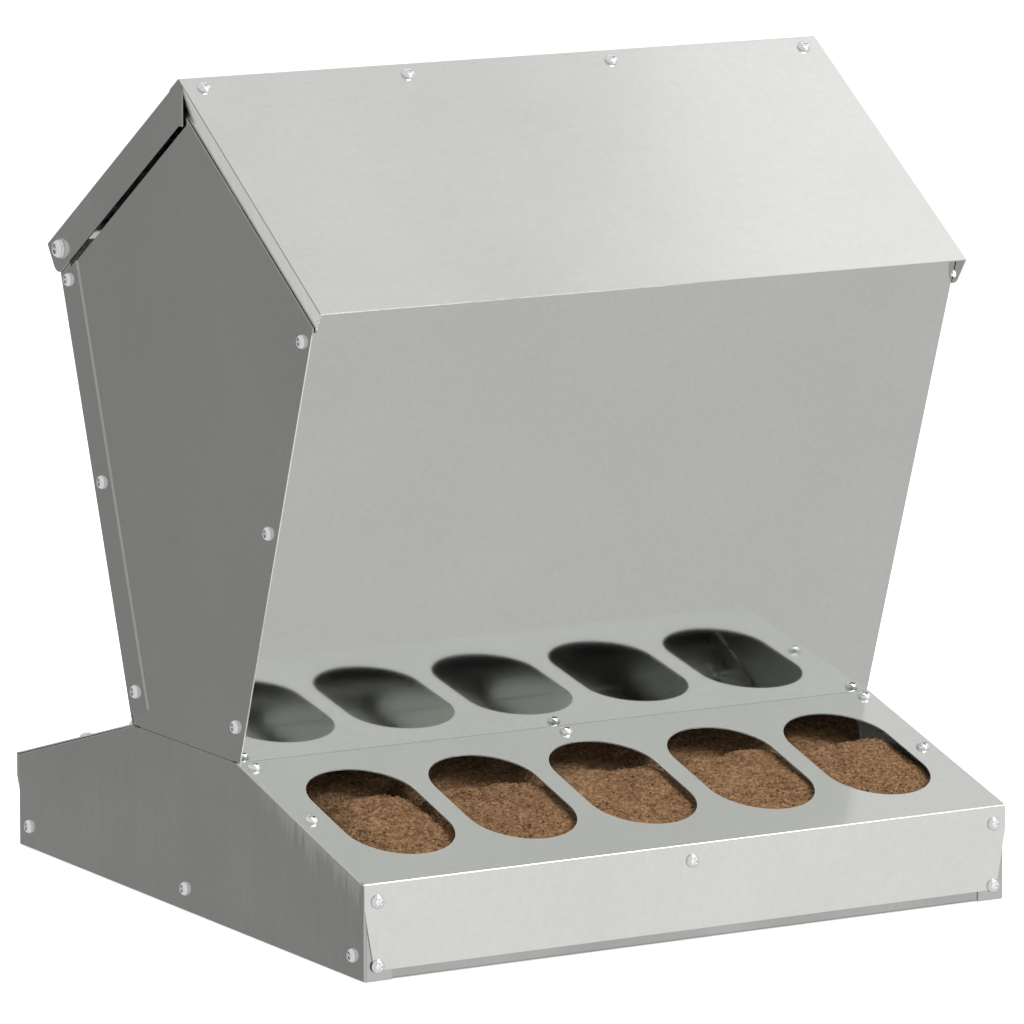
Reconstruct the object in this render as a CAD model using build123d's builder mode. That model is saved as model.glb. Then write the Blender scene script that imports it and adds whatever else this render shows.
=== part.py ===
"""Gravity poultry feeder of folded galvanised sheet: a twin trough with a tapered hopper and a hinged roof.

Frame: +X along the ridge, -Y is the front, +Z up, and the origin is at the middle of the tray's underside.
Outlines in the YZ plane are written as (y, z). Lengths are in millimetres.
"""

import os
from math import hypot

from build123d import *

# Sheet and bends
sheet = 0.8
bend_radius = 0.8
tight_bend = 0.5
corner_radius = 1.6

# Base
base_depth = 438.0
skirt_top = 57.3
skirt_bottom = 6.2
skirt_clip_top = 43.0
skirt_clip_inset = 6.5
deck_height = 101.4
deck_half_depth = 67.1
cover_half_width = 220.0
base_side_face = 219.4
base_side_flange = 18.0
tray_wall_height = 52.0
tray_lip_height = 25.0
tray_corner_gap = 1.6

# Feeding holes in each trough cover
hole_count = 5
hole_pitch = 82.4
hole_width = 68.5
hole_length = 109.3
hole_centre = 82.2

# Feed spreader
spreader_top = 50.0
spreader_half_depth = 60.0
spreader_foot = 10.0
spreader_tab_half = 12.0

# Hopper
wall_top_mark = (151.4, 352.0)
rear_wall_top = 382.2
front_wall_top = 384.9
front_wall_shoulder = 367.9
wall_foot = 17.0
cover_top_gap = 0.15
hopper_end_face = 218.2
wall_flange_depth = 22.0
wall_flange_bottom = 106.0
end_tongue_half = 58.0
end_tongue_drop = 13.0
end_front_drop = 15.9
end_rear_drop = 25.6
ridge_notch = 11.8
end_to_wall_gap = 0.6
end_to_base_gap = 0.4

# Roof
ridge_height = 497.9
eave = (170.7, 380.6)
roof_half_width = 220.2
roof_flange_depth = 23.0
roof_flange_corner = 7.5
roof_flange_overlap = 4.0
drip_flange_depth = 17.0
drip_flange_inset = 3.4
drip_eave_clip = 3.9
drip_ridge_clip = 6.2
ridge_lip = 14.0
ridge_tuck = 20.0
ridge_flange_gap = 0.3

# Fasteners
screw_head_radius = 4.1
screw_head_height = 2.7
screw_shank_radius = 1.9
screw_length = 8.0
screw_point = 2.0
head_flat = 0.4
screw_hole_radius = 1.95
recess_length = 4.8
recess_width = 1.1
recess_depth = 1.5
pivot = (152.9, 379.1)
pivot_radius = 2.5
pivot_clearance = 0.05
pivot_head_radius = 5.3
pivot_head_height = 3.4
pivot_recess_scale = 1.3
pivot_chamfer = 0.8
pivot_grip = 11.0
washer_radius = 6.2
washer_thickness = 1.0
washer_gap = 0.1
nut_width = 8.0
nut_thickness = 4.0
lug_radius = 7.2
latch_hole = (-158.4, 370.5)
latch_hole_radius = 2.2

# Screw places: (x, z) on the skirt, (x, distance from the skirt's edge) on a cover, (y, z) on the sides
skirt_screws = [(-211.4, 46.6), (0, 47.3), (211.4, 46.6), (-211.4, 8.8), (211.4, 8.8)]
cover_top_screws = [(-212.5, 150.3), (0, 150.3), (212.5, 150.3)]
cover_side_screws = [(-211.2, 80.5), (211.2, 80.5)]
base_side_screws = [(-204.0, 13.2), (0, 13.2), (204.0, 13.2)]
hopper_screws = [(144.8, 361.2), (103.4, 243.3), (62.3, 121.9)]
ridge_screw_places = [-207.5, -70.4, 70.4, 207.5]
ridge_screw_drop = 9.7

os.makedirs("parts", exist_ok=True)


# Directions and lines in the YZ plane, for the rear half


def towards(start, end):
    """Unit direction from one (y, z) point to another."""
    length = hypot(end[0] - start[0], end[1] - start[1])
    return ((end[0] - start[0]) / length, (end[1] - start[1]) / length)


def moved(start, direction, distance):
    """The point a distance from start along a direction."""
    return (start[0] + direction[0] * distance, start[1] + direction[1] * distance)


def crossing(start, direction, other_start, other_direction):
    """Where two lines in the YZ plane cross."""
    turn = direction[0] * other_direction[1] - direction[1] * other_direction[0]
    gap = (other_start[0] - start[0], other_start[1] - start[1])
    distance = (gap[0] * other_direction[1] - gap[1] * other_direction[0]) / turn
    return moved(start, direction, distance)


def front_point(point):
    """The same point on the front half."""
    return (-point[0], point[1])


def front(points):
    """The same outline on the front half."""
    return [front_point(point) for point in points]


skirt_edge = (base_depth / 2, skirt_top)
deck_edge = (deck_half_depth, deck_height)
cover_up = towards(skirt_edge, deck_edge)
cover_in = (-cover_up[1], cover_up[0])
cover_length = hypot(skirt_edge[0] - deck_edge[0], skirt_edge[1] - deck_edge[1])

wall_up = towards(deck_edge, wall_top_mark)
wall_in = (-wall_up[1], wall_up[0])

ridge = (0.0, ridge_height)
roof_down = towards(ridge, eave)
roof_in = (roof_down[1], -roof_down[0])
roof_length = hypot(eave[0] - ridge[0], eave[1] - ridge[1])


def on_cover(distance, depth):
    """A point on the cover: distance from the skirt's edge, depth below the outer face."""
    return moved(moved(skirt_edge, cover_up, distance), cover_in, depth)


def on_wall(height, depth):
    """A point on the hopper wall at a height of its outer face, moved inward by depth."""
    outer = crossing(deck_edge, wall_up, (0.0, height), (1.0, 0.0))
    return moved(outer, wall_in, depth)


def on_roof(distance, depth):
    """A point on the rear roof slope: distance from the ridge, depth below the outer face."""
    return moved(moved(ridge, roof_down, distance), roof_in, depth)


def folded(points, start, radius=bend_radius):
    """Section of a sheet folded along the points of its middle line, on the plane x = start."""
    with BuildSketch(Plane.YZ.offset(start)) as section:
        with BuildLine():
            FilletPolyline(*points, radius=radius)
        trace(line_width=sheet)
    return section.sketch


def straight(begin, end, start):
    """Section of a flat sheet between two points of its middle line."""
    with BuildSketch(Plane.YZ.offset(start)) as section:
        with BuildLine():
            Line(begin, end)
        trace(line_width=sheet)
    return section.sketch


def outline(points, start):
    """Closed straight-sided outline on the plane x = start."""
    with BuildSketch(Plane.YZ.offset(start)) as shape:
        with BuildLine():
            Polyline(*points, close=True)
        make_face()
    return shape.sketch


def along_x(section, length):
    """Extrudes a section towards +X into the part being made."""
    extrude(section, amount=length, dir=(1, 0, 0))


def cut_along_x(section, length):
    """Cuts a section towards +X out of the part being made."""
    extrude(section, amount=length, dir=(1, 0, 0), mode=Mode.SUBTRACT)


def drill(seats, radius):
    """Round holes through the sheets at each seat, along the seat's own axis."""
    with Locations(*seats):
        Cylinder(radius, 2 * screw_length, mode=Mode.SUBTRACT)


# Screw seats: planes on the outer sheet, with the normal pointing outward


def skirt_seats(side):
    seats = []
    for x, z in skirt_screws:
        seats.append(Plane(origin=(x, side * base_depth / 2, z), x_dir=(1, 0, 0), z_dir=(0, side, 0)))
    return seats


def cover_seats(places, side):
    seats = []
    for x, distance in places:
        y, z = on_cover(distance, 0)
        normal = (0, -side * cover_in[0], -cover_in[1])
        seats.append(Plane(origin=(x, side * y, z), x_dir=(1, 0, 0), z_dir=normal))
    return seats


def side_seats(places, face, side):
    seats = []
    for y, z in places:
        seats.append(Plane(origin=(side * face, y, z), x_dir=(0, 1, 0), z_dir=(side, 0, 0)))
    return seats


def ridge_seats():
    y, z = on_roof(ridge_screw_drop, 0)
    normal = (0, roof_in[0], -roof_in[1])
    return [Plane(origin=(x, -y, z), x_dir=(1, 0, 0), z_dir=normal) for x in ridge_screw_places]


outer_flange_face = hopper_end_face + sheet
inner_flange_face = hopper_end_face - sheet


# Tray: floor, two walls behind the skirts and two low side lips, folded from one sheet

tray_half_width = base_side_face - sheet
tray_half_depth = base_depth / 2 - 2 * sheet
tray_line = tray_half_depth - sheet / 2
tray_section = [
    (-tray_line, tray_wall_height),
    (-tray_line, sheet / 2),
    (tray_line, sheet / 2),
    (tray_line, tray_wall_height),
]
with BuildPart() as tray:
    floor_half_width = tray_half_width - tray_corner_gap
    along_x(folded(tray_section, -floor_half_width), 2 * floor_half_width)
    lip_line = tray_half_width - sheet / 2
    with BuildSketch(Plane.XZ.offset(-tray_half_depth + tray_corner_gap)) as lip_section:
        with BuildLine():
            FilletPolyline(
                (-lip_line, tray_lip_height),
                (-lip_line, sheet / 2),
                (lip_line, sheet / 2),
                (lip_line, tray_lip_height),
                radius=bend_radius,
            )
        trace(line_width=sheet)
    extrude(lip_section.sketch, amount=2 * (tray_half_depth - tray_corner_gap), dir=(0, -1, 0))
    drill(side_seats(base_side_screws, base_side_face, 1), screw_hole_radius)
    drill(side_seats(base_side_screws, base_side_face, -1), screw_hole_radius)
    drill(skirt_seats(1), screw_hole_radius)
    drill(skirt_seats(-1), screw_hole_radius)

# Base sides: six-sided panels whose flanges run behind the skirts and under the covers

side_half_depth = base_depth / 2 - sheet
below_floor = 10.0
side_corner = crossing((side_half_depth, 0), (0, 1), on_cover(0, sheet), cover_up)
side_deck = crossing(deck_edge, wall_up, on_cover(0, sheet), cover_up)
side_outline = [
    (-side_half_depth, -below_floor),
    front_point(side_corner),
    front_point(side_deck),
    side_deck,
    side_corner,
    (side_half_depth, -below_floor),
]
flange_root = base_side_face - base_side_flange
with BuildPart() as base_side_right:
    along_x(outline(side_outline, flange_root), base_side_flange)
    outer_edges = base_side_right.faces().sort_by(Axis.X)[-1].edges()
    rounded = [edge for edge in outer_edges if abs(edge.center().Y) > deck_half_depth]
    fillet(rounded, corner_radius)
    offset(amount=-sheet, openings=base_side_right.faces().sort_by(Axis.X)[0])
    with Locations((flange_root, 0, -below_floor)):
        Box(4 * base_side_flange, 2 * base_depth, 2 * below_floor, mode=Mode.SUBTRACT)
    wall_foot_start = cover_length - wall_foot
    flange_end = on_cover(wall_foot_start - 1, -sheet)
    flange_cut = [
        flange_end,
        on_cover(wall_foot_start - 1, 4 * sheet),
        front_point(on_cover(wall_foot_start - 1, 4 * sheet)),
        front_point(flange_end),
        (0, deck_height + wall_foot),
    ]
    cut_along_x(outline(flange_cut, flange_root - 1), base_side_flange + 1 - sheet)
    for y_side in (1, -1):
        with Locations((flange_root, y_side * side_half_depth, skirt_top)):
            Box(2 * (base_side_flange - sheet), 4 * sheet, 4 * sheet, mode=Mode.SUBTRACT)
    drill(side_seats(base_side_screws, base_side_face, 1), screw_hole_radius)
    for y_side in (1, -1):
        drill(skirt_seats(y_side), screw_hole_radius)
        drill(cover_seats(cover_side_screws, y_side), screw_hole_radius)

with BuildPart() as base_side_left:
    add(base_side_right.part)
    mirror(about=Plane.YZ)
    split(bisect_by=Plane.YZ, keep=Keep.BOTTOM)

# Trough covers: a sloped sheet with the feeding holes, folded down into the skirt

cover_fold = crossing(on_cover(0, sheet / 2), cover_up, (base_depth / 2 - sheet / 2, 0), (0, 1))
cover_section = [
    on_cover(cover_length - cover_top_gap, sheet / 2),
    cover_fold,
    (base_depth / 2 - sheet / 2, skirt_bottom),
]
cover_plane = Plane(
    origin=(0, *on_cover(hole_centre, 0)), x_dir=(-1, 0, 0), z_dir=(0, -cover_in[0], -cover_in[1])
)
with BuildPart() as trough_cover_rear:
    along_x(folded(cover_section, -cover_half_width), 2 * cover_half_width)
    with BuildSketch(cover_plane) as feeding_holes:
        with GridLocations(hole_pitch, 0, hole_count, 1):
            SlotOverall(hole_length, hole_width, rotation=90)
    extrude(amount=4 * sheet, both=True, mode=Mode.SUBTRACT)
    with BuildSketch(Plane.XZ.offset(-base_depth)) as skirt_clips:
        for x_side in (1, -1):
            with BuildLine():
                Polyline(
                    (x_side * cover_half_width, skirt_clip_top),
                    (x_side * (cover_half_width + 1), skirt_clip_top),
                    (x_side * (cover_half_width + 1), 0),
                    (x_side * (cover_half_width - skirt_clip_inset), skirt_bottom),
                    close=True,
                )
            make_face()
    extrude(skirt_clips.sketch, amount=base_depth, dir=(0, -1, 0), mode=Mode.SUBTRACT)
    drill(skirt_seats(1), screw_hole_radius)
    drill(cover_seats(cover_top_screws, 1), screw_hole_radius)
    drill(cover_seats(cover_side_screws, 1), screw_hole_radius)

with BuildPart() as trough_cover_front:
    add(trough_cover_rear.part, rotation=(0, 0, 180))

# Feed spreader: an inverted V on the tray floor, with a tab down each end for the middle side screws

spreader_floor = sheet * 1.5
spreader_section = [
    (-spreader_half_depth - spreader_foot, spreader_floor),
    (-spreader_half_depth, spreader_floor),
    (0, spreader_top),
    (spreader_half_depth, spreader_floor),
    (spreader_half_depth + spreader_foot, spreader_floor),
]
spreader_half_width = tray_half_width - sheet
spreader_slope = towards((0, spreader_top), (spreader_half_depth, spreader_floor))
tab_top = moved((0, spreader_top), spreader_slope, spreader_tab_half)
tab_outline = [
    (-tab_top[0], 2 * sheet),
    front_point(tab_top),
    (0, spreader_top),
    tab_top,
    (tab_top[0], 2 * sheet),
]
with BuildPart() as feed_spreader:
    along_x(folded(spreader_section, sheet / 2 - spreader_half_width), 2 * spreader_half_width - sheet)
    along_x(outline(tab_outline, -spreader_half_width), sheet)
    along_x(outline(tab_outline, spreader_half_width - sheet), sheet)
    middle_screw = [base_side_screws[1]]
    drill(side_seats(middle_screw, base_side_face, 1), screw_hole_radius)
    drill(side_seats(middle_screw, base_side_face, -1), screw_hole_radius)

# Hopper walls: one end flange lies outside the end panel, the other inside it

wall_line_start = on_wall(deck_height, sheet / 2)
foot_line_start = on_cover(0, 1.5 * sheet)
wall_fold = crossing(wall_line_start, wall_up, foot_line_start, cover_up)
wall_section = [
    moved(wall_fold, cover_up, -wall_foot),
    wall_fold,
    on_wall(rear_wall_top, sheet / 2),
]
flange_top = crossing(deck_edge, wall_up, on_roof(0, end_rear_drop), roof_down)
flange_inner_top = crossing(
    on_wall(deck_height, wall_flange_depth), wall_up, on_roof(0, end_rear_drop), roof_down
)
flange_outline = [
    on_wall(wall_flange_bottom, sheet / 2),
    flange_top,
    flange_inner_top,
    on_wall(wall_flange_bottom, wall_flange_depth),
]
lug_outline = [
    moved(pivot, wall_in, -lug_radius),
    moved(pivot, wall_in, lug_radius),
    moved(moved(pivot, wall_in, lug_radius), wall_up, -3 * lug_radius),
    moved(moved(pivot, wall_in, -lug_radius), wall_up, -3 * lug_radius),
]


def end_flange(points, start):
    """A wall's end flange, one sheet thick from x = start."""
    along_x(outline(points, start), sheet)


def pivot_lug(start):
    """The rounded lug above a rear wall's end flange, which carries a roof pivot."""
    along_x(outline(lug_outline, start), sheet)
    with BuildSketch(Plane.YZ.offset(start)) as lug:
        with Locations(pivot):
            Circle(lug_radius)
    along_x(lug.sketch, sheet)


wall_width = outer_flange_face + inner_flange_face
relief_align = (Align.MAX, Align.CENTER, Align.CENTER)
front_relief_align = (Align.MIN, Align.CENTER, Align.CENTER)
foot_half_width = hopper_end_face
foot_relief_top = side_deck[1] + sheet / 2
with BuildPart() as hopper_wall_rear:
    along_x(folded(wall_section, -outer_flange_face, tight_bend), wall_width)
    for flange_start in (-outer_flange_face, inner_flange_face - sheet):
        end_flange(flange_outline, flange_start)
        pivot_lug(flange_start)
    with Locations((-foot_half_width, 0, 0)):
        Box(2 * sheet, base_depth, 2 * foot_relief_top, align=relief_align, mode=Mode.SUBTRACT)
    drill(cover_seats(cover_top_screws, 1), screw_hole_radius)
    drill(side_seats(hopper_screws, hopper_end_face, 1), screw_hole_radius)
    drill(side_seats(hopper_screws, hopper_end_face, -1), screw_hole_radius)
    drill(side_seats([pivot], hopper_end_face, 1), pivot_radius + pivot_clearance)
    drill(side_seats([pivot], hopper_end_face, -1), pivot_radius + pivot_clearance)

front_wall_section = front([*wall_section[:2], on_wall(front_wall_shoulder, sheet / 2)])
rest_strip = front([on_wall(front_wall_shoulder - sheet, sheet / 2), on_wall(front_wall_top, sheet / 2)])
shoulder_face = roof_half_width - drip_flange_inset - 2 * sheet
with BuildPart() as hopper_wall_front:
    along_x(folded(front_wall_section, -inner_flange_face, tight_bend), wall_width)
    along_x(straight(*rest_strip, -shoulder_face), shoulder_face + outer_flange_face)
    for flange_start in (-inner_flange_face, hopper_end_face):
        end_flange(front(flange_outline), flange_start)
    with Locations((foot_half_width, 0, 0)):
        Box(2 * sheet, base_depth, 2 * foot_relief_top, align=front_relief_align, mode=Mode.SUBTRACT)
    drill(cover_seats(cover_top_screws, -1), screw_hole_radius)
    drill(side_seats(front(hopper_screws), hopper_end_face, 1), screw_hole_radius)
    drill(side_seats(front(hopper_screws), hopper_end_face, -1), screw_hole_radius)

# Hopper ends: flat panels between the walls, with a tongue down inside the base side

wall_edge_inset = sheet + end_to_wall_gap
end_bottom = side_deck[1] + end_to_base_gap
end_front_top = crossing(deck_edge, wall_up, on_roof(0, end_front_drop), roof_down)
rear_edge = on_wall(deck_height, wall_edge_inset)
end_rear_top = crossing(rear_edge, wall_up, on_roof(0, end_rear_drop), roof_down)
notch_low = on_roof(ridge_notch, end_rear_drop)
front_slope_start = front_point(on_roof(0, end_front_drop))
front_slope_down = (-roof_down[0], roof_down[1])
notch_high = crossing(notch_low, roof_in, front_slope_start, front_slope_down)
end_outline = [
    (-end_tongue_half, end_bottom - end_tongue_drop),
    (-end_tongue_half, end_bottom),
    front_point(on_wall(end_bottom, 0)),
    front_point(end_front_top),
    notch_high,
    notch_low,
    end_rear_top,
    on_wall(end_bottom, wall_edge_inset),
    (end_tongue_half, end_bottom),
    (end_tongue_half, end_bottom - end_tongue_drop),
]
with BuildPart() as hopper_end_left:
    along_x(outline(end_outline, -hopper_end_face), sheet)
    drill(side_seats(hopper_screws, hopper_end_face, -1), screw_hole_radius)
    drill(side_seats(front(hopper_screws), hopper_end_face, -1), screw_hole_radius)

right_front_top = crossing(rear_edge, wall_up, on_roof(0, end_front_drop), roof_down)
right_rear_top = crossing(deck_edge, wall_up, on_roof(0, end_rear_drop), roof_down)
right_end_outline = [
    (-end_tongue_half, end_bottom - end_tongue_drop),
    (-end_tongue_half, end_bottom),
    front_point(on_wall(end_bottom, wall_edge_inset)),
    front_point(right_front_top),
    notch_high,
    notch_low,
    right_rear_top,
    on_wall(end_bottom, 0),
    (end_tongue_half, end_bottom),
    (end_tongue_half, end_bottom - end_tongue_drop),
]
with BuildPart() as hopper_end_right:
    along_x(outline(right_end_outline, hopper_end_face - sheet), sheet)
    drill(side_seats(hopper_screws, hopper_end_face, 1), screw_hole_radius)
    drill(side_seats(front(hopper_screws), hopper_end_face, 1), screw_hole_radius)

# Roof: the rear panel carries the pivots, and the front panel laps over it at the ridge

rear_roof_section = [
    on_roof(roof_length, 1.5 * sheet),
    crossing(on_roof(0, 1.5 * sheet), roof_down, (0, 0), (0, 1)),
    front_point(on_roof(ridge_tuck, 1.5 * sheet)),
]
flange_low_ridge = crossing(on_roof(0, roof_flange_depth), roof_down, (0, 0), (0, 1))
overlap_top = crossing(front_point(on_roof(0, sheet)), front_slope_down, (-roof_flange_overlap, 0), (0, 1))
rear_flange_outline = [
    on_roof(roof_length, 1.5 * sheet),
    crossing(on_roof(0, 1.5 * sheet), roof_down, (0, 0), (0, 1)),
    moved(overlap_top, (0, -1), sheet),
    (-roof_flange_overlap, flange_low_ridge[1]),
    flange_low_ridge,
    on_roof(roof_length, roof_flange_depth),
]
tuck_half_width = hopper_end_face - sheet
tuck_end_outline = [
    (-roof_flange_overlap, ridge_height),
    (-roof_flange_overlap, flange_low_ridge[1]),
    (-2 * ridge_tuck, flange_low_ridge[1]),
    (-2 * ridge_tuck, ridge_height),
]


def deep_flange(points, start):
    """A full-depth roof flange one sheet thick from x = start, rounded at its lower eave corner."""
    with BuildSketch(Plane.YZ.offset(start)) as flange:
        with BuildLine():
            Polyline(*points, close=True)
        make_face()
        lowest = flange.vertices().sort_by(Axis.Y)[0]
        fillet(lowest, roof_flange_corner)
    along_x(flange.sketch, sheet)


with BuildPart() as roof_panel_rear:
    along_x(folded(rear_roof_section, -roof_half_width), 2 * roof_half_width)
    deep_flange(rear_flange_outline, -roof_half_width)
    deep_flange(rear_flange_outline, roof_half_width - sheet)
    tuck_relief = roof_half_width - tuck_half_width
    for relief_start in (-roof_half_width, tuck_half_width):
        cut_along_x(outline(tuck_end_outline, relief_start), tuck_relief)
    drill(ridge_seats(), screw_hole_radius)
    drill(side_seats([pivot], roof_half_width, 1), pivot_radius + pivot_clearance)
    drill(side_seats([pivot], roof_half_width, -1), pivot_radius + pivot_clearance)

front_roof_section = [
    front_point(on_roof(roof_length, sheet / 2)),
    crossing(on_roof(0, sheet / 2), roof_down, (0, 0), (0, 1)),
    on_roof(ridge_lip, sheet / 2),
]
front_overlap = roof_flange_overlap + ridge_flange_gap
front_flange_end = (-front_overlap, 0)
front_flange_top = crossing(
    front_point(on_roof(0, sheet / 2)), front_slope_down, front_flange_end, (0, 1)
)
front_flange_low = crossing(
    front_point(on_roof(0, roof_flange_depth)), front_slope_down, front_flange_end, (0, 1)
)
front_flange_outline = [
    front_point(on_roof(roof_length, sheet / 2)),
    front_flange_top,
    front_flange_low,
    front_point(on_roof(roof_length, roof_flange_depth)),
]
drip_clip_line = front_point(on_roof(0, drip_ridge_clip))
drip_ridge_outline = [
    crossing(drip_clip_line, front_slope_down, front_flange_end, (0, 1)),
    crossing(front_point(on_roof(0, sheet)), front_slope_down, front_flange_end, (0, 1)),
    crossing(on_roof(0, sheet), roof_down, (0, 0), (0, 1)),
    crossing(on_roof(0, sheet), roof_down, drip_clip_line, front_slope_down),
]
drip_eave_outline = front([
    on_roof(roof_length, sheet),
    on_roof(roof_length + 1, sheet),
    on_roof(roof_length + 1, drip_flange_depth + 1),
    on_roof(roof_length - drip_eave_clip, drip_flange_depth + 1),
])
drip_plane = Plane(
    origin=(0, *front_point(on_roof(0, 0))),
    x_dir=(1, 0, 0),
    z_dir=(0, front_slope_down[0], front_slope_down[1]),
)
with BuildPart() as roof_panel_front:
    along_x(folded(front_roof_section, -roof_half_width), 2 * roof_half_width)
    deep_flange(front_flange_outline, roof_half_width - sheet)
    with BuildSketch(drip_plane) as drip_section:
        with BuildLine():
            Polyline(
                (-roof_half_width, -sheet / 2),
                (-roof_half_width + drip_flange_inset, -drip_flange_depth),
                (-roof_half_width + drip_flange_inset + sheet, -drip_flange_depth),
                (-roof_half_width + sheet, -sheet / 2),
                close=True,
            )
        make_face()
    extrude(drip_section.sketch, amount=roof_length)
    for drip_cut in (drip_ridge_outline, drip_eave_outline):
        cut_along_x(outline(drip_cut, -roof_half_width - 1), 2 * drip_flange_inset)
    drill(ridge_seats(), screw_hole_radius)
    drill(side_seats([latch_hole], roof_half_width, 1), latch_hole_radius)

# Fasteners


def cross_head_screw(head_radius, head_height, shank_radius, length, point):
    """Half section of a screw with a low domed head, seated at z = 0 with its head above."""
    with BuildSketch(Plane.XZ) as half_section:
        with BuildLine():
            Polyline(
                (0, head_height),
                (0, -length),
                (shank_radius - point / 2, -length),
                (shank_radius, point - length),
                (shank_radius, 0),
                (head_radius, 0),
                (head_radius, head_height * 0.3),
            )
            ThreePointArc(
                (head_radius, head_height * 0.3),
                (head_radius * 0.78, head_height * 0.8),
                (head_radius * head_flat, head_height),
            )
            Line((head_radius * head_flat, head_height), (0, head_height))
        make_face()
    return half_section.sketch


def cut_cross(head_height, scale):
    """Cuts the cross recess into the top of a screw head."""
    for arm in ((recess_length, recess_width), (recess_width, recess_length)):
        with Locations((0, 0, head_height)):
            Box(arm[0] * scale, arm[1] * scale, 2 * recess_depth * scale, mode=Mode.SUBTRACT)


pan_section = cross_head_screw(
    screw_head_radius, screw_head_height, screw_shank_radius, screw_length, screw_point
)
pivot_section = cross_head_screw(
    pivot_head_radius, pivot_head_height, pivot_radius, pivot_grip, pivot_chamfer
)

with BuildPart() as pan_screw:
    revolve(pan_section, axis=Axis.Z)
    cut_cross(screw_head_height, 1)

with BuildPart() as pivot_screw:
    revolve(pivot_section, axis=Axis.Z)
    cut_cross(pivot_head_height, pivot_recess_scale)

with BuildPart() as washer:
    Cylinder(washer_radius, washer_thickness, align=(Align.CENTER, Align.CENTER, Align.MIN))
    Cylinder(pivot_radius + pivot_clearance, 4 * washer_thickness, mode=Mode.SUBTRACT)

with BuildPart() as nut:
    with BuildSketch():
        RegularPolygon(nut_width / 2, 6, major_radius=False)
        Circle(pivot_radius + pivot_clearance, mode=Mode.SUBTRACT)
    extrude(amount=nut_thickness)

screw_sets = {
    "skirt_screws_front": skirt_seats(-1),
    "skirt_screws_rear": skirt_seats(1),
    "cover_top_screws_front": cover_seats(cover_top_screws, -1),
    "cover_top_screws_rear": cover_seats(cover_top_screws, 1),
    "cover_side_screws_front": cover_seats(cover_side_screws, -1),
    "cover_side_screws_rear": cover_seats(cover_side_screws, 1),
    "base_side_screws_left": side_seats(base_side_screws, base_side_face, -1),
    "base_side_screws_right": side_seats(base_side_screws, base_side_face, 1),
    "hopper_screws_front_left": side_seats(front(hopper_screws), hopper_end_face, -1),
    "hopper_screws_rear_left": side_seats(hopper_screws, outer_flange_face, -1),
    "hopper_screws_front_right": side_seats(front(hopper_screws), outer_flange_face, 1),
    "hopper_screws_rear_right": side_seats(hopper_screws, hopper_end_face, 1),
    "ridge_screws": ridge_seats(),
}
washer_seat = roof_half_width + washer_gap
head_seat = washer_seat + washer_thickness
pivot_sets = {
    "pivot_screw_left": (pivot_screw, side_seats([pivot], head_seat, -1)),
    "pivot_screw_right": (pivot_screw, side_seats([pivot], head_seat, 1)),
    "pivot_washer_left": (washer, side_seats([pivot], washer_seat, -1)),
    "pivot_washer_right": (washer, side_seats([pivot], washer_seat, 1)),
    "pivot_nut_left": (nut, side_seats([pivot], hopper_end_face - nut_thickness, -1)),
    "pivot_nut_right": (nut, side_seats([pivot], inner_flange_face - sheet - nut_thickness, 1)),
}

sheet_parts = {
    "tray": tray,
    "base_side_left": base_side_left,
    "base_side_right": base_side_right,
    "trough_cover_front": trough_cover_front,
    "trough_cover_rear": trough_cover_rear,
    "feed_spreader": feed_spreader,
    "hopper_wall_front": hopper_wall_front,
    "hopper_wall_rear": hopper_wall_rear,
    "hopper_end_left": hopper_end_left,
    "hopper_end_right": hopper_end_right,
    "roof_panel_front": roof_panel_front,
    "roof_panel_rear": roof_panel_rear,
}

for label, piece in sheet_parts.items():
    piece.part.label = label
    export_step(piece.part, f"parts/{label}.step")

for label, seats in screw_sets.items():
    with BuildPart() as screws:
        with Locations(*seats):
            add(pan_screw.part)
    screws.part.label = label
    export_step(screws.part, f"parts/{label}.step")

for label, (template, seats) in pivot_sets.items():
    with BuildPart() as pivot_piece:
        with Locations(*seats):
            add(template.part)
    pivot_piece.part.label = label
    export_step(pivot_piece.part, f"parts/{label}.step")
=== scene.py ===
import math
import random

import bmesh
import bpy
from mathutils import Matrix, Vector, noise


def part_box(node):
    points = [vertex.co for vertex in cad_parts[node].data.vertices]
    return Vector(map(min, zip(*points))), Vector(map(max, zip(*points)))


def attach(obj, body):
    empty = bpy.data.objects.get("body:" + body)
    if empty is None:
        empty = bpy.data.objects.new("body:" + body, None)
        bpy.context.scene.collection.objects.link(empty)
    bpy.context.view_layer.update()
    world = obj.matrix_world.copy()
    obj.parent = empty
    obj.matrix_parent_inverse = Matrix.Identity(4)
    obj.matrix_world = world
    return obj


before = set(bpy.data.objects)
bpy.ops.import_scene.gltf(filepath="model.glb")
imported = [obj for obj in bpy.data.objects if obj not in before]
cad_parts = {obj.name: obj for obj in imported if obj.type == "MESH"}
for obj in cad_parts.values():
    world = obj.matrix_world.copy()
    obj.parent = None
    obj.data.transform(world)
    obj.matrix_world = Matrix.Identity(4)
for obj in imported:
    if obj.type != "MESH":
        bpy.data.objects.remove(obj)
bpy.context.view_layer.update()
scene = bpy.context.scene
scene.view_settings.view_transform = "Standard"
SEED = 469
WHITE = (1.0, 1.0, 1.0, 1.0)
X, Y, Z = 0, 1, 2


# ---------------------------------------------------------------- node helpers

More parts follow.
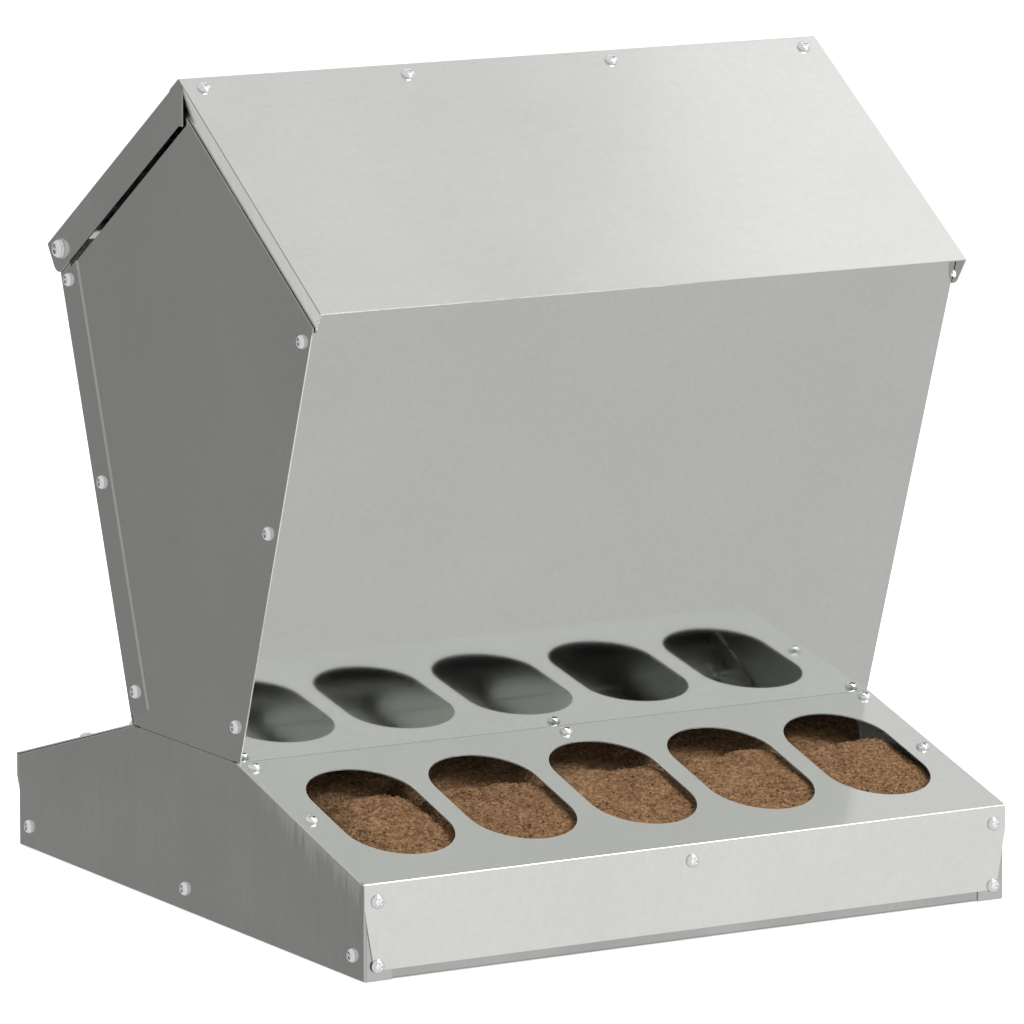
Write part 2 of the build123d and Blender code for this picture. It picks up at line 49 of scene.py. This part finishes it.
class Nodes:
    """Small helper that adds and links shader nodes."""

    def __init__(self, tree):
        self.tree = tree
        tree.nodes.clear()

    def add(self, kind, inputs=None, **settings):
        node = self.tree.nodes.new(kind)
        for key, value in settings.items():
            setattr(node, key, value)
        for key, value in (inputs or {}).items():
            self.put(node, key, value)
        return node

    def put(self, node, key, value):
        if isinstance(value, bpy.types.NodeSocket):
            self.tree.links.new(value, node.inputs[key])
        else:
            node.inputs[key].default_value = value

    def maths(self, operation, first, second):
        node = self.add("ShaderNodeMath", operation=operation)
        self.put(node, 0, first)
        self.put(node, 1, second)
        return node.outputs[0]

    def vector(self, operation, first, second):
        return self.add("ShaderNodeVectorMath", {0: first, 1: second}, operation=operation).outputs[0]

    def span(self, value, low, high, out_low, out_high, smooth=False):
        node = self.add(
            "ShaderNodeMapRange",
            {"Value": value, "From Min": low, "From Max": high, "To Min": out_low, "To Max": out_high},
            clamp=True,
        )
        if smooth:
            node.interpolation_type = "SMOOTHSTEP"
        return node.outputs[0]

    def absolute(self, value):
        return self.maths("ABSOLUTE", value, 0.0)

    def outward(self, axis):
        """How far a face looks away from the middle along an axis, from -1 to 1."""
        away = self.maths("SIGN", position(self)[axis], 0.0)
        return self.maths("MULTIPLY", true_normal(self)[axis], away)

    def noise(self, vector, scale, detail=3.0, roughness=0.5, stretch=None):
        if stretch:
            vector = self.add("ShaderNodeMapping", {"Vector": vector, "Scale": stretch}).outputs[0]
        node = self.add(
            "ShaderNodeTexNoise",
            {"Vector": vector, "Scale": scale, "Detail": detail, "Roughness": roughness},
        )
        return node.outputs[0]

    def ramp(self, value, stops):
        node = self.add("ShaderNodeValToRGB", {"Fac": value})
        elements = node.color_ramp.elements
        for index, (place, colour) in enumerate(stops):
            element = elements[index] if index < 2 else elements.new(place)
            element.position = place
            element.color = (*colour, 1.0)
        return node.outputs[0]


def new_material(name):
    material = bpy.data.materials.new(name)
    material.use_nodes = True
    nodes = Nodes(material.node_tree)
    shader = nodes.add("ShaderNodeBsdfPrincipled")
    output = nodes.add("ShaderNodeOutputMaterial")
    material.node_tree.links.new(shader.outputs[0], output.inputs[0])
    return material, nodes, shader


def true_normal(nodes):
    flat = nodes.add("ShaderNodeNewGeometry").outputs["True Normal"]
    return nodes.add("ShaderNodeSeparateXYZ", {"Vector": flat}).outputs


def position(nodes):
    place = nodes.add("ShaderNodeTexCoord").outputs["Object"]
    return nodes.add("ShaderNodeSeparateXYZ", {"Vector": place}).outputs


UPRIGHT_GRAIN = (1.0, 1.0, 0.04)
CUT_EDGE_ROUGHNESS = 0.3
BOW_FULL_Z = 0.20
BOW_END_Z = 0.33


def galvanised(
    name, tone, gloss, streaks=0.0, clouds=1.0, brush=1.0, cut_edge_highlight_mask=None, shade=None, bow=0.0
):
    """Smooth zinc-coated sheet: tone is its reflectance, gloss its mean roughness.

    streaks, clouds and brush are how strongly each kind of variation shows. The edge mask and
    shade are functions of the node helper: the mask finds the sheet's bare cut edges, which get a
    painted highlight in white, and shade gives the painted shade and painted light that scale the
    colour of some faces. bow is how far the sheet's lower part is dished, as a tilt of its normal
    upward.
    """
    material, nodes, shader = new_material(name)
    place = nodes.add("ShaderNodeTexCoord").outputs["Object"]
    cloud = nodes.noise(place, 9.0, 3.0, 0.55)
    fine = nodes.noise(place, 240.0, 4.0, 0.6)
    brushed = nodes.noise(place, 160.0, 4.0, 0.6, stretch=UPRIGHT_GRAIN)
    wide_streak = nodes.noise(place, 38.0, 2.0, 0.5, stretch=UPRIGHT_GRAIN)
    dark = tuple(channel * (1.0 - 0.07 * clouds) for channel in tone)
    light = tuple(min(1.0, channel * (1.0 + 0.05 * clouds)) for channel in tone)
    clouded = nodes.ramp(cloud, [(0.3, dark), (0.7, light)])
    grain_streak_and_painted_sheen = nodes.span(
        wide_streak, 0.42, 0.75, 1.0 - 0.25 * streaks, 1.0 + 0.6 * streaks, smooth=True
    )
    speck = nodes.span(fine, 0.3, 0.7, 0.975, 1.015)
    gain = nodes.maths("MULTIPLY", grain_streak_and_painted_sheen, speck)
    if shade:
        gain = nodes.maths("MULTIPLY", gain, shade(nodes))
    colour = nodes.vector("MULTIPLY", clouded, gain)
    rough_base = nodes.span(cloud, 0.3, 0.7, gloss * 0.88, gloss * 1.12)
    rough_fine = nodes.span(brushed, 0.3, 0.7, -0.02 * brush, 0.025 * brush)
    roughness = nodes.maths("ADD", rough_base, rough_fine)
    # Painted highlight: the bare cut edges are painted white, and their gloss is made rougher.
    if cut_edge_highlight_mask:
        cut = cut_edge_highlight_mask(nodes)
        mix = nodes.add("ShaderNodeMix", {"Factor": cut, 6: colour, 7: WHITE}, data_type="RGBA")
        colour = mix.outputs[2]
        cut_roughness = nodes.maths("MULTIPLY", cut, CUT_EDGE_ROUGHNESS)
        roughness = nodes.maths("ADD", roughness, cut_roughness)
    nodes.put(shader, "Base Color", colour)
    shader.inputs["Metallic"].default_value = 1.0
    nodes.put(shader, "Roughness", roughness)
    waves = nodes.add(
        "ShaderNodeBump",
        {"Strength": 0.25, "Distance": 0.0003, "Height": nodes.noise(place, 14.0, 1.0, 0.3)},
    )
    skin = nodes.add(
        "ShaderNodeBump",
        {
            "Strength": 0.04 * brush,
            "Distance": 0.0001,
            "Height": brushed,
            "Normal": waves.outputs[0],
        },
    )
    normal = skin.outputs[0]
    if bow:
        low = nodes.span(position(nodes)[Z], BOW_FULL_Z, BOW_END_Z, bow, 0.0, smooth=True)
        lean = nodes.add("ShaderNodeCombineXYZ", {"Z": low}).outputs[0]
        tilted = nodes.vector("ADD", normal, lean)
        normal = nodes.add("ShaderNodeVectorMath", {0: tilted}, operation="NORMALIZE").outputs[0]
    nodes.put(shader, "Normal", normal)
    return material


def zinc_plate():
    """Bright plated screws, washers and nuts."""
    material, nodes, shader = new_material("bright_zinc")
    place = nodes.add("ShaderNodeTexCoord").outputs["Object"]
    spots = nodes.noise(place, 900.0, 3.0, 0.6)
    plated = nodes.ramp(spots, [(0.3, (0.86, 0.87, 0.88)), (0.7, (0.97, 0.97, 0.97))])
    nodes.put(shader, "Base Color", plated)
    shader.inputs["Metallic"].default_value = 1.0
    nodes.put(shader, "Roughness", nodes.span(spots, 0.3, 0.7, 0.08, 0.2))
    bump = nodes.add("ShaderNodeBump", {"Strength": 0.15, "Distance": 0.0001, "Height": spots})
    nodes.put(shader, "Normal", bump.outputs[0])
    return material


def feed_material():
    """Ground feed: small grains of mixed browns, with slow drifts of tone."""
    material, nodes, shader = new_material("ground_feed")
    place = nodes.add("ShaderNodeTexCoord").outputs["Object"]
    cells = nodes.add("ShaderNodeTexVoronoi", {"Vector": place, "Scale": 620.0, "Randomness": 1.0})
    crumbs = nodes.noise(place, 420.0, 5.0, 0.7)
    drift = nodes.noise(place, 45.0, 3.0, 0.6)
    tint = nodes.add("ShaderNodeSeparateColor", {"Color": cells.outputs["Color"]}).outputs[0]
    grain_tone = nodes.maths("MULTIPLY", tint, 0.45)
    crumb_tone = nodes.maths("MULTIPLY", crumbs, 0.35)
    drift_tone = nodes.maths("MULTIPLY", drift, 0.3)
    mixed = nodes.maths("ADD", nodes.maths("ADD", grain_tone, crumb_tone), drift_tone)
    colour = nodes.ramp(
        mixed,
        [
            (0.22, (0.10, 0.052, 0.026)),
            (0.45, (0.20, 0.106, 0.050)),
            (0.62, (0.27, 0.152, 0.075)),
            (0.85, (0.39, 0.242, 0.133)),
        ],
    )
    nodes.put(shader, "Base Color", colour)
    shader.inputs["Roughness"].default_value = 0.92
    shader.inputs["Specular IOR Level"].default_value = 0.2
    lumps = nodes.maths("SUBTRACT", crumbs, cells.outputs["Distance"])
    bump = nodes.add("ShaderNodeBump", {"Strength": 0.9, "Distance": 0.0012, "Height": lumps})
    nodes.put(shader, "Normal", bump.outputs[0])
    return material


# ---------------------------------------------------------------- CAD finishes

STEEL = (0.655, 0.665, 0.645)
INSIDE_STEEL = (0.68, 0.69, 0.67)
COVER_NORMAL = (0.2790, 0.9603)
DECK_EDGE = (0.0671, 0.1014)
SKIRT_EDGE = (0.2190, 0.0573)
SKIRT_FOLD_Y = 0.2150
ROOF_LAP_Z = 0.3660
FADE = 0.0005
# How bright and how long the painted sheen streaks below the left front slope are.
PAINTED_SHEEN_GAIN = 0.34
PAINTED_SHEEN_SHORTEST = 0.004
PAINTED_SHEEN_LONGEST = 0.034


def end_cut_edge_highlight(nodes):
    """Painted highlight: the bare cut edges of a flat panel that stands across X, below the roof,
    which the finish paints white.
    """
    facing = nodes.absolute(true_normal(nodes)[X])
    edge = nodes.span(facing, 0.3, 0.7, 1.0, 0.0)
    below_roof = nodes.span(position(nodes)[Z], ROOF_LAP_Z, ROOF_LAP_Z + FADE, 1.0, 0.0)
    return nodes.maths("MULTIPLY", edge, below_roof)


def hole_cut_edge_highlight(nodes):
    """Painted highlight: the bare cut edges of the feeding holes in a trough cover, which the finish
    paints white.
    """
    along_y = nodes.maths("MULTIPLY", nodes.outward(Y), COVER_NORMAL[0])
    along_z = nodes.maths("MULTIPLY", true_normal(nodes)[Z], COVER_NORMAL[1])
    facing = nodes.absolute(nodes.maths("ADD", along_y, along_z))
    edge = nodes.span(facing, 0.3, 0.6, 1.0, 0.0)
    depth = nodes.absolute(position(nodes)[Y])
    on_slope = nodes.span(depth, SKIRT_FOLD_Y, SKIRT_FOLD_Y + FADE, 1.0, 0.0)
    return nodes.maths("MULTIPLY", edge, on_slope)


def tray_face(nodes):
    """Darkens the tray's outer walls, which stand in the shade behind the skirts."""
    return nodes.span(nodes.outward(Y), 0.5, 0.8, 1.0, 0.6)


def base_side_painted_light(nodes):
    """Painted shade and painted highlight: darkens the flanges behind the clipped skirts, and puts
    pale streaks of painted sheen below the fold of the left front slope.
    """
    # Painted shade: faces that look along Y, the flanges behind the clipped skirts, are darkened to
    # 0.72.
    facing = nodes.absolute(true_normal(nodes)[Y])
    flange_painted_shade = nodes.span(facing, 0.8, 0.98, 1.0, 0.72)
    # Painted highlight: pale streaks of painted sheen, of random length, hang below the front slope's
    # fold on the left side only.
    place = nodes.add("ShaderNodeTexCoord").outputs["Object"]
    spot = position(nodes)
    slope = nodes.span(
        nodes.absolute(spot[Y]), DECK_EDGE[0], SKIRT_EDGE[0], DECK_EDGE[1], SKIRT_EDGE[1]
    )
    below = nodes.maths("SUBTRACT", slope, spot[Z])
    strands = nodes.noise(place, 170.0, 3.0, 0.7, stretch=(1.0, 1.0, 0.07))
    reach = nodes.span(strands, 0.35, 0.7, PAINTED_SHEEN_SHORTEST, PAINTED_SHEEN_LONGEST)
    near_slope = nodes.span(
        nodes.maths("DIVIDE", below, reach), 0.1, 1.0, 1.0, 0.0, smooth=True
    )
    at_front = nodes.span(spot[Y], -0.15, -0.066, 1.0, 0.0, smooth=True)
    at_left = nodes.span(spot[X], -0.01, 0.01, PAINTED_SHEEN_GAIN, 0.0)
    grain_streak_and_painted_sheen = nodes.maths("MULTIPLY", nodes.maths("MULTIPLY", near_slope, at_front), at_left)
    return nodes.maths("MULTIPLY", flange_painted_shade, nodes.maths("ADD", grain_streak_and_painted_sheen, 1.0))


def inside_ear_painted_shade(nodes):
    """Painted shade: darkens the inner faces of the roof's rear end flanges, which only see a narrow
    gap.
    """
    hidden = nodes.span(nodes.outward(X), -0.8, -0.5, 0.92, 0.0)
    past_ridge = nodes.span(position(nodes)[Y], 0.008, 0.03, 0.0, 1.0)
    return nodes.maths("SUBTRACT", 1.0, nodes.maths("MULTIPLY", hidden, past_ridge))


HOPPER_LOOK = {"tone": STEEL, "gloss": 0.06, "clouds": 0.3, "brush": 0.3, "bow": 0.085}
ROOF_LOOK = {"tone": STEEL, "gloss": 0.2, "clouds": 0.4, "shade": inside_ear_painted_shade}
COVER_LOOK = {"tone": STEEL, "gloss": 0.16, "clouds": 0.35, "cut_edge_highlight_mask": hole_cut_edge_highlight}
SIDE_LOOK = {"tone": STEEL, "gloss": 0.2, "streaks": 0.02, "clouds": 0.5, "shade": base_side_painted_light}
END_LOOK = {"tone": STEEL, "gloss": 0.2, "clouds": 0.2, "brush": 0.2, "cut_edge_highlight_mask": end_cut_edge_highlight}
INSIDE_LOOK = {"tone": INSIDE_STEEL, "gloss": 0.10, "clouds": 1.5, "brush": 0.5}

sheet_finishes = {
    "hopper_wall_front": galvanised("steel_hopper_front", **HOPPER_LOOK),
    "hopper_wall_rear": galvanised("steel_hopper_rear", **HOPPER_LOOK),
    "roof_panel_front": galvanised("steel_roof_front", **ROOF_LOOK),
    "roof_panel_rear": galvanised("steel_roof_rear", **ROOF_LOOK),
    "trough_cover_front": galvanised("steel_cover_front", **COVER_LOOK),
    "trough_cover_rear": galvanised("steel_cover_rear", **COVER_LOOK),
    "base_side_left": galvanised("steel_base_left", **SIDE_LOOK),
    "base_side_right": galvanised("steel_base_right", **SIDE_LOOK),
    "hopper_end_left": galvanised("steel_end_left", **END_LOOK),
    "hopper_end_right": galvanised("steel_end_right", **END_LOOK),
    "tray": galvanised("steel_tray", shade=tray_face, **INSIDE_LOOK),
    "feed_spreader": galvanised("steel_spreader", **INSIDE_LOOK),
}
fastener_finish = zinc_plate()
for node_name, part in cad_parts.items():
    finish = sheet_finishes.get(node_name, fastener_finish)
    part.data.materials.clear()
    part.data.materials.append(finish)


# ---------------------------------------------------------------- loose feed

cover_low, cover_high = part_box("trough_cover_front")
DECK_Y = -cover_high.y
DECK_Z = cover_high.z
SKIRT_Y = -cover_low.y
SKIRT_Z = SKIRT_EDGE[1]
COVER_THICKNESS = 0.0014
HOLE_PITCH = 0.0824
HOLES_EACH_WAY = 2
FEED_STEP = 0.002
FEED_X = 0.2142
FEED_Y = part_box("tray")[1].y - 0.0022
FEED_FLOOR = 0.0012
FEED_CROWN = 0.097
CROWN_FALL = 0.017
SMALLEST_GAP = 0.0022
CRUMBS_PER_HOLE = 520
CRUMB_MARGIN = 0.004


def cover_underside(y):
    """Height of the trough cover's lower face at a distance y from the middle."""
    share = (abs(y) - DECK_Y) / (SKIRT_Y - DECK_Y)
    return DECK_Z + (SKIRT_Z - DECK_Z) * share - COVER_THICKNESS


def ease(value):
    """Smooth step from 0 to 1."""
    value = min(1.0, max(0.0, value))
    return value * value * (3.0 - 2.0 * value)


# One heap under each feeding hole. The one at the left end is smaller and set inward.
rng = random.Random(SEED)
heaps = []
for side in (-1, 1):
    for place in range(-HOLES_EACH_WAY, HOLES_EACH_WAY + 1):
        small = place == -HOLES_EACH_WAY
        heaps.append({
            "x": place * HOLE_PITCH + (0.010 if small else rng.uniform(0.000, 0.006)),
            "side": side,
            "crest": 0.118 + rng.uniform(-0.003, 0.003),
            "spread": 0.016 if small else 0.028,
            "gap": 0.0030 + rng.uniform(0.0, 0.0015),
            "dip": 0.018 if small else 0.010,
        })


def roughness_at(x, y):
    """Lumps of the feed's surface in three sizes."""
    lumps = 0.0
    for size, frequency, layer in ((0.0024, 34.0, 3.1), (0.0014, 110.0, 7.7), (0.0012, 420.0, 1.3)):
        lumps += size * noise.noise(Vector((x * frequency, y * frequency, layer)))
    return lumps


def feed_height(x, y):
    """Height of the feed's surface: a heap under each hole, sloping back down to the throat."""
    depth = abs(y)
    rough = roughness_at(x, y)
    if depth < DECK_Y:
        return FEED_CROWN - CROWN_FALL * (depth / DECK_Y) ** 2 + rough
    side = 1 if y > 0 else -1
    beside = [heap for heap in heaps if heap["side"] == side]
    nearest = min(beside, key=lambda heap: abs(heap["x"] - x))
    away = abs(x - nearest["x"])
    crest = nearest["crest"] + 0.30 * max(0.0, away - nearest["spread"])
    drop = nearest["dip"] * ease((away - nearest["spread"]) / 0.030)
    drop += 0.015 * ease((crest - depth) / 0.024)
    drop += 0.004 * ease((depth - 0.160) / 0.04)
    level = cover_underside(y) - nearest["gap"] - drop + rough
    level = min(level, cover_underside(y) - SMALLEST_GAP)
    wall = min(FEED_X - abs(x), FEED_Y - depth)
    level -= 0.004 * max(0.0, 1.0 - wall / 0.008)
    return max(level, FEED_FLOOR + 0.003)


def add_feed_piece(name, data):
    """Puts a feed mesh in the trough. It rides on the base, and the steel does not mirror it."""
    piece = bpy.data.objects.new(name, data)
    scene.collection.objects.link(piece)
    data.materials.append(grain_finish)
    piece.visible_glossy = False
    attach(piece, "base")


def build_feed():
    """The body of the feed: its rolling surface, closed by sides and a floor."""
    mesh = bmesh.new()
    across = round(2 * FEED_X / FEED_STEP)
    along = round(2 * FEED_Y / FEED_STEP)
    xs = [-FEED_X + 2 * FEED_X * i / across for i in range(across + 1)]
    ys = [-FEED_Y + 2 * FEED_Y * j / along for j in range(along + 1)]
    top = [[mesh.verts.new((x, y, feed_height(x, y))) for x in xs] for y in ys]
    for j in range(along):
        for i in range(across):
            mesh.faces.new((top[j][i], top[j][i + 1], top[j + 1][i + 1], top[j + 1][i]))
    rim = [top[0][i] for i in range(across + 1)]
    rim += [top[j][across] for j in range(1, along + 1)]
    rim += [top[along][i] for i in range(across - 1, -1, -1)]
    rim += [top[j][0] for j in range(along - 1, 0, -1)]
    feet = [mesh.verts.new((v.co.x, v.co.y, FEED_FLOOR)) for v in rim]
    count = len(rim)
    for i in range(count):
        mesh.faces.new((rim[i], feet[i], feet[(i + 1) % count], rim[(i + 1) % count]))
    mesh.faces.new(list(reversed(feet)))
    bmesh.ops.recalc_face_normals(mesh, faces=mesh.faces)
    data = bpy.data.meshes.new("loose_feed")
    mesh.to_mesh(data)
    mesh.free()
    for polygon in data.polygons:
        polygon.use_smooth = True
    add_feed_piece("loose_feed", data)


def build_grains():
    """Crumbs of feed scattered over the heaps under each hole."""
    pattern = bmesh.new()
    bmesh.ops.create_icosphere(pattern, subdivisions=1, radius=1.0)
    corners = [vert.co.copy() for vert in pattern.verts]
    triangles = [[vert.index for vert in face.verts] for face in pattern.faces]
    pattern.free()
    points = []
    faces = []
    for heap in heaps:
        for _ in range(CRUMBS_PER_HOLE):
            x = heap["x"] + rng.uniform(-0.038, 0.036)
            y = heap["side"] * rng.uniform(0.088, 0.196)
            size = rng.uniform(0.0005, 0.0011)
            angle = rng.uniform(0, math.tau)
            turn = Matrix.Rotation(angle, 3, Vector((rng.random(), rng.random(), 1)))
            width = size * rng.uniform(0.55, 0.9)
            stretch = Matrix.Diagonal((size, width, size * rng.uniform(0.5, 0.8)))
            if abs(x) > FEED_X - CRUMB_MARGIN:
                continue
            if not DECK_Y + CRUMB_MARGIN < abs(y) < FEED_Y - CRUMB_MARGIN:
                continue
            height = min(feed_height(x, y) + size * 0.25, cover_underside(y) - 0.0026)
            spot = Vector((x, y, height))
            start = len(points)
            points += [turn @ (stretch @ corner) + spot for corner in corners]
            faces += [[start + index for index in triangle] for triangle in triangles]
    data = bpy.data.meshes.new("feed_crumbs")
    data.from_pydata(points, [], faces)
    add_feed_piece("feed_crumbs", data)


grain_finish = feed_material()
build_feed()
build_grains()


# ---------------------------------------------------------------- studio

FLOOR_HALF = 14.0
FLOOR_DROP = 0.0003


def add_floor():
    mesh = bmesh.new()
    signs = ((-1, -1), (1, -1), (1, 1), (-1, 1))
    corners = [mesh.verts.new((sx * FLOOR_HALF, sy * FLOOR_HALF, 0.0)) for sx, sy in signs]
    mesh.faces.new(corners)
    data = bpy.data.meshes.new("studio_floor")
    mesh.to_mesh(data)
    mesh.free()
    floor = bpy.data.objects.new("studio_floor", data)
    scene.collection.objects.link(floor)
    floor.location.z = -FLOOR_DROP
    material, nodes, shader = new_material("pale_floor")
    place = nodes.add("ShaderNodeTexCoord").outputs["Object"]
    soft = nodes.noise(place, 1.5, 2.0, 0.5)
    pale = nodes.ramp(soft, [(0.3, (0.9, 0.9, 0.9)), (0.7, (0.92, 0.92, 0.92))])
    nodes.put(shader, "Base Color", pale)
    shader.inputs["Roughness"].default_value = 0.9
    shader.inputs["Specular IOR Level"].default_value = 0.0
    shader.inputs["Emission Color"].default_value = WHITE
    shader.inputs["Emission Strength"].default_value = 0.35
    data.materials.append(material)
    floor.visible_glossy = False


add_floor()

# The surroundings that the steel mirrors: a pale room, with brighter and darker soft regions
world = bpy.data.worlds.new("studio")
scene.world = world
world.use_nodes = True
room = Nodes(world.node_tree)
heading = room.add("ShaderNodeTexCoord").outputs["Generated"]
ROOM_TONE = 0.67
regions = [
    # Each is a direction, how much it adds, and the cosines from which it starts and is full
    ((0.497, -0.865, -0.02), 0.34, 0.84, 0.96),
    ((0.62, 0.20, 0.76), 0.22, 0.72, 0.99),
    ((-0.497, 0.853, -0.15), -0.39, 0.88, 0.97),
    ((-0.10, 0.93, -0.34), 0.55, 0.965, 0.995),
]
level = ROOM_TONE
for direction, gain, start, full in regions:
    unit = Vector(direction).normalized()
    facing = room.add("ShaderNodeVectorMath", {0: heading, 1: unit}, operation="DOT_PRODUCT")
    lobe = room.span(facing.outputs["Value"], start, full, 0.0, gain, smooth=True)
    level = room.maths("ADD", lobe, level)
backdrop = room.add("ShaderNodeBackground", {"Color": (1.0, 1.0, 0.995, 1.0), "Strength": level})
world_output = room.add("ShaderNodeOutputWorld")
world.node_tree.links.new(backdrop.outputs[0], world_output.inputs[0])


def area_light(name, place, target, size, power, glossy=True):
    """A square soft light. Where glossy is off, the steel does not mirror it."""
    data = bpy.data.lights.new(name, "AREA")
    data.shape = "SQUARE"
    data.size = size
    data.energy = power
    light = bpy.data.objects.new(name, data)
    scene.collection.objects.link(light)
    light.location = place
    light.rotation_euler = (Vector(target) - Vector(place)).to_track_quat("-Z", "Y").to_euler()
    light.visible_glossy = glossy


area_light("key_softbox", (1.1, -1.7, 2.4), (0, 0, 0.2), 1.4, 42.0)
area_light("top_softbox", (0.0, 0.3, 3.0), (0, 0, 0), 3.0, 60.0, glossy=False)
area_light("roof_softbox", (0.98, 0.05, 1.25), (0.2, -0.08, 0.44), 0.7, 0.48)


# ---------------------------------------------------------------- camera

BASE_WIDTH = 0.44
AZIMUTH = math.radians(-30.30)
ELEVATION = math.radians(9.89)
TARGET = Vector((0.0, 0.0, 0.22))
DISTANCE = 11.04 * BASE_WIDTH
back = Vector((
    math.sin(AZIMUTH) * math.cos(ELEVATION),
    -math.cos(AZIMUTH) * math.cos(ELEVATION),
    math.sin(ELEVATION),
))
camera_data = bpy.data.cameras.new("camera")
camera_data.lens = 282.6
camera_data.sensor_width = 36.0
camera_data.shift_x = 0.00835
camera_data.shift_y = 0.0022
camera_data.clip_end = 100.0
camera = bpy.data.objects.new("camera", camera_data)
scene.collection.objects.link(camera)
camera.location = TARGET + back * DISTANCE
camera.rotation_euler = (-back).to_track_quat("-Z", "Y").to_euler()
scene.camera = camera
